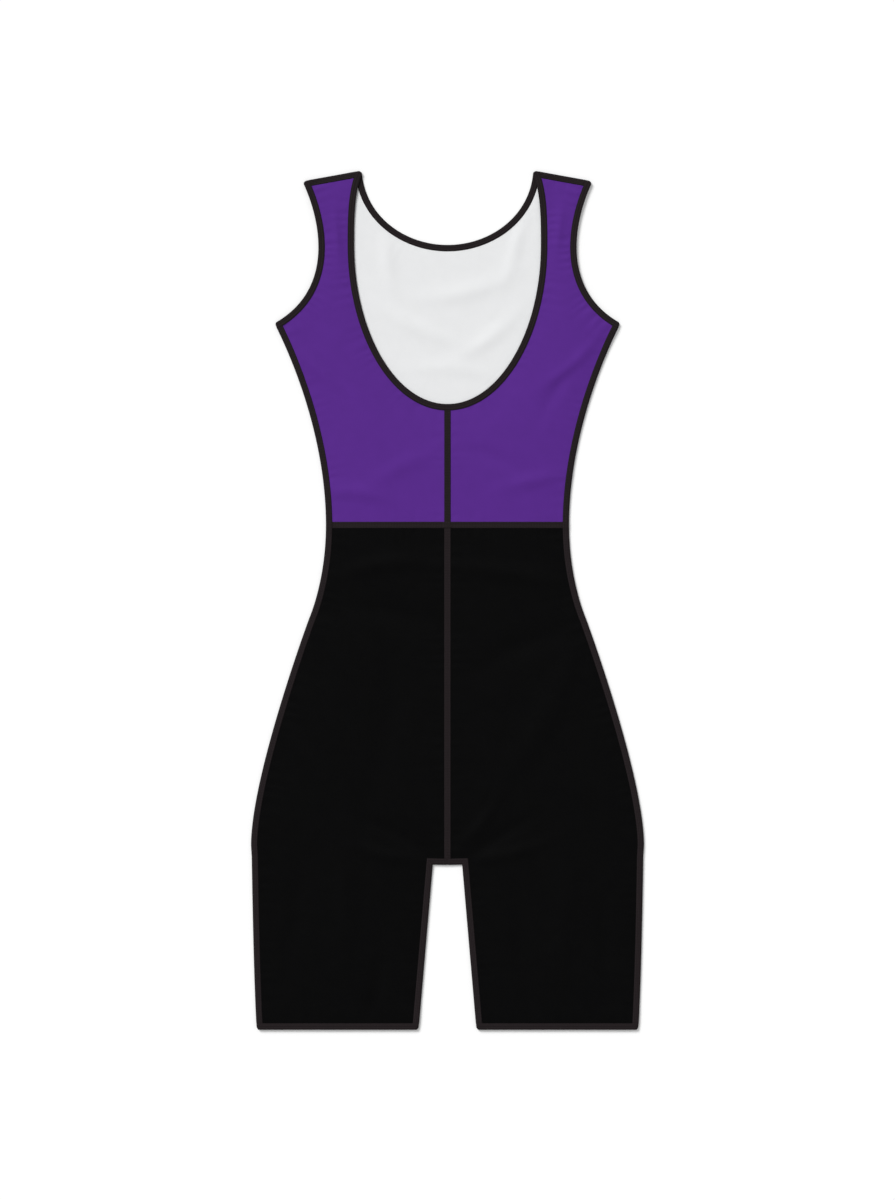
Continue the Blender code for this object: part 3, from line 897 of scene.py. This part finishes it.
def finish_binding(node, ring, looks):
    """Make a binding of its closed ring of sections. Its run is counted both ways, so that it meets."""
    run = run_of(ring, BINDING_ACROSS, BINDING_THREAD)
    run[..., 0] = np.minimum(run[..., 0], run[-1, 0, 0] - run[..., 0])
    piece = strip_piece(node + "_strip", ring, run, looks["charcoal_binding"], closed=True)
    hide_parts(node)


def make_closed_binding(kind, reaches, line, seams, looks):
    """The bindings of both armholes or both legs: along the front, over, back along the back and under."""
    plan = strip_plan(reaches, line, {seam: TURN_START for seam in seams})
    first_way, last_way = run_on(line, seams[0]), run_on(line, seams[1])
    ring = np.concatenate([
        front_run(plan),
        half_turn(plan[-1], last_way, plan[-1], last_way),
        back_run(plan)[::-1],
        half_turn(plan[0], first_way, plan[0], first_way)[::-1],
    ])
    for side, hand in SIDES:
        finish_binding(kind + "_binding_" + hand, ring * np.array([side, 1, 1]), looks)


def make_neck_binding(front, back, looks):
    """The binding round the neck: its right half from front to back, then the left half back again."""
    shoulder = {"shoulder": TURN_START}
    front_way, back_way = run_on("front_neck", "shoulder"), run_on("back_neck", "shoulder")
    front_plan = strip_plan(front, "front_neck", {**shoulder, "front_centre": 0.0})[::-1]
    back_plan = strip_plan(back, "back_neck", {**shoulder, "back_centre": 0.0})
    right = np.concatenate([
        front_run(front_plan),
        half_turn(front_plan[-1], front_way, back_plan[0], back_way),
        back_run(back_plan),
    ])
    left = right[-2:0:-1] * np.array([-1, 1, 1])
    from_left_turn = len(front_plan) + TURN_STATIONS // 2
    ring = np.roll(np.concatenate([right, left]), from_left_turn, axis=0)
    finish_binding("neck_binding", ring, looks)


def make_bindings(looks):
    """Neck, armholes and leg openings."""
    bodice = dict.fromkeys(("waist", "side", "armhole", "shoulder"), 0.0)
    front = {**bodice, "front_neck": 0.0, "front_centre": 0.0}
    back = {**bodice, "back_neck": 0.0, "back_centre": 0.0}
    leg = dict.fromkeys(
        ("leg_waist", "leg_centre", "crotch", "inseam", "hem", "leg_side", "thigh", "hip"), 0.0)
    make_neck_binding(front, back, looks)
    make_closed_binding("armhole", back, "armhole", ("side", "shoulder"), looks)
    make_closed_binding("leg", leg, "hem", ("inseam", "leg_side"), looks)


# --- Materials --------------------------------------------------------

class Nodes:
    """The nodes of a material or of the world."""

    def __init__(self, owner):
        owner.use_nodes = True
        self.tree = owner.node_tree

    def put(self, value, socket):
        """Link a socket to an input, or set a number on it."""
        if isinstance(value, bpy.types.NodeSocket):
            self.tree.links.new(value, socket)
        else:
            socket.default_value = value

    def feed(self, node, **inputs):
        """Put a value on each named input of a node; an underscore in a name stands for a space."""
        for name, value in inputs.items():
            self.put(value, node.inputs[name.replace("_", " ")])
        return node

    def shader(self, **inputs):
        """Feed the material's shader."""
        self.feed(self.tree.nodes["Principled BSDF"], **inputs)

    def add(self, kind, **inputs):
        """A new node of this kind."""
        return self.feed(self.tree.nodes.new(kind), **inputs)

    def calc(self, operation, *values):
        """The result of a sum on sockets and numbers."""
        node = self.add("ShaderNodeMath")
        node.operation = operation
        for value, socket in zip(values, node.inputs):
            self.put(value, socket)
        return node.outputs[0]

    def between(self, share, low, high):
        """A value that goes from low to high as its share goes from 0 to 1."""
        return self.calc("MULTIPLY_ADD", share, high - low, low)

    def axes(self, vector):
        """The X, Y and Z of a vector."""
        split = self.add("ShaderNodeSeparateXYZ", Vector=vector)
        return [split.outputs[axis] for axis in "XYZ"]


def finish_material(nodes, look, place, height, shade, relief):
    """Colour the shader by a shade near 1, which holds painted shade and painted light on the relief,
    mottled at random. A height from 0 to 1 gives its bump and its shine.
    """
    noise = nodes.add("ShaderNodeTexNoise", Vector=place, Scale=MOTTLE_SCALE, Detail=MOTTLE_DETAIL)
    mottle = nodes.between(noise.outputs["Fac"], 1 - look.mottle, 1 + look.mottle)
    mix = nodes.add("ShaderNodeVectorMath")
    mix.operation = "SCALE"
    nodes.put(look.colour, mix.inputs[0])
    nodes.put(nodes.calc("MULTIPLY", shade, mottle), mix.inputs["Scale"])
    bump = nodes.add("ShaderNodeBump", Height=height, Distance=relief, Strength=1.0)
    rough = nodes.between(height, look.roughness + LOOP_SHINE / 2, look.roughness - LOOP_SHINE / 2)
    nodes.shader(
        Base_Color=mix.outputs[0], Normal=bump.outputs["Normal"], Roughness=rough,
        Specular_IOR_Level=look.specular, Sheen_Weight=look.sheen, Sheen_Roughness=SHEEN_ROUGHNESS)


def knit_material(name, look):
    """Plain jersey: columns of slanting loops, with painted shade between the columns and painted light on
    the loops' tops.
    """
    material = bpy.data.materials.new(name)
    nodes = Nodes(material)
    place = nodes.add("ShaderNodeTexCoord").outputs["Object"]
    x, y, _ = nodes.axes(place)
    half_wale = nodes.calc("PINGPONG", x, WALE / 2)
    column = nodes.calc("SINE", nodes.calc("MULTIPLY", half_wale, math.tau / WALE))
    slant = nodes.calc("MULTIPLY_ADD", half_wale, LOOP_SLANT, y)
    loop = nodes.calc("SINE", nodes.calc("MULTIPLY", slant, math.tau / COURSE))
    height = nodes.calc("MULTIPLY", column, nodes.calc("MULTIPLY_ADD", loop, LOOP_DIP, 1 - LOOP_DIP))
    # Painted shade in the hollows of the knit and painted light on the tops of its loops.
    shade = nodes.between(height, *KNIT_PAINTED_SHADES)
    finish_material(nodes, look, place, height, shade, LOOP_RELIEF)
    return material


def strip_material(name, look, pitch, slant):
    """Fine threads or ribs laid across a strip, with painted shade between them and painted light on their
    tops.
    """
    material = bpy.data.materials.new(name)
    nodes = Nodes(material)
    attribute = nodes.add("ShaderNodeAttribute")
    attribute.attribute_name = "run"
    place = attribute.outputs["Vector"]
    along, across, stitch = nodes.axes(place)
    leaning = nodes.calc("MULTIPLY_ADD", nodes.calc("ABSOLUTE", across), slant, along)
    thread = nodes.calc("SINE", nodes.calc("MULTIPLY", leaning, math.tau / pitch))
    height = nodes.calc("MULTIPLY_ADD", thread, 0.5, 0.5)
    # Painted shade between the threads and painted light on their tops, times the paler stitches of the
    # needles' thread.
    shade = nodes.calc(
        "MULTIPLY", nodes.between(height, *THREAD_PAINTED_SHADES), nodes.between(stitch, 1.0, 1.0 + STITCH_SHADE))
    finish_material(nodes, look, place, height, shade, THREAD_RELIEF)
    return material


def make_looks():
    """Every material of the garment by name."""
    looks = {name: knit_material(name, look) for name, look in KNITS.items()}
    ribs = {"charcoal_binding": (RIB, 0.0), "charcoal_seam": (THREAD_PITCH, THREAD_SLANT)}
    for name, (pitch, slant) in ribs.items():
        looks[name] = strip_material(name, STRIPS[name], pitch, slant)
    return looks


# --- Room -------------------------------------------------------------

def when_seen(nodes, unseen, seen):
    """One strength for the camera and for reflections, and another for all other light."""
    path = nodes.add("ShaderNodeLightPath")
    ray = path.outputs["Is Camera Ray"]
    for other in ("Is Glossy Ray", "Is Transmission Ray"):
        ray = nodes.calc("MAXIMUM", ray, path.outputs[other])
    return nodes.between(ray, unseen, seen)


def make_world():
    """Even light from all round, white where it is seen."""
    world = bpy.data.worlds.new("world")
    nodes = Nodes(world)
    nodes.feed(nodes.tree.nodes["Background"], Color=WHITE, Strength=when_seen(nodes, SKY, 1.0))
    bpy.context.scene.world = world


def make_sun():
    """One soft light from the upper left, which brings a level surface up to its own colour."""
    height, heading = math.radians(SUN_HEIGHT), math.radians(SUN_HEADING)
    light = bpy.data.lights.new("sun", "SUN")
    light.angle = math.radians(SUN_SPREAD)
    light.energy = (1 - SKY) * math.pi / math.sin(height)
    sun = bpy.data.objects.new("sun", light)
    sun.rotation_euler = (0.0, math.pi / 2 - height, heading)
    bpy.context.scene.collection.objects.link(sun)


def make_floor():
    """A plain white floor that keeps the garment's shadow."""
    half = FLOOR_SIZE / 2
    level = SURFACE - FLOOR_DROP
    corners = [(x * half, y * half, level) for x, y in ((-1, -1), (1, -1), (1, 1), (-1, 1))]
    mesh = bpy.data.meshes.new("floor")
    mesh.from_pydata(corners, [], [range(len(corners))])
    material = bpy.data.materials.new("floor")
    nodes = Nodes(material)
    nodes.shader(
        Base_Color=FLOOR_COLOUR, Roughness=FLOOR_ROUGHNESS, Specular_IOR_Level=0.0,
        Emission_Color=WHITE, Emission_Strength=when_seen(nodes, 0.0, FLOOR_GLOW))
    mesh.materials.append(material)
    floor = bpy.data.objects.new("floor", mesh)
    bpy.context.scene.collection.objects.link(floor)


def make_camera():
    """Straight above the garment, with the neck at the top of the picture."""
    data = bpy.data.cameras.new("camera")
    data.lens = CAMERA_LENS
    data.sensor_width = CAMERA_SENSOR
    camera = bpy.data.objects.new("camera", data)
    top = CAD_BOX[1].z
    camera.location = (0.0, 0.0, top + PICTURE_LENGTH * CAMERA_LENS / CAMERA_SENSOR)
    bpy.context.scene.collection.objects.link(camera)
    bpy.context.scene.camera = camera


bpy.context.scene.view_settings.view_transform = "Standard"
make_camera()
make_world()
make_sun()
make_floor()
finishes = make_looks()
all_panels = make_cloth(finishes)
make_seams(finishes)
make_bindings(finishes)
for each_panel in all_panels:
    declare_cloth(each_panel)
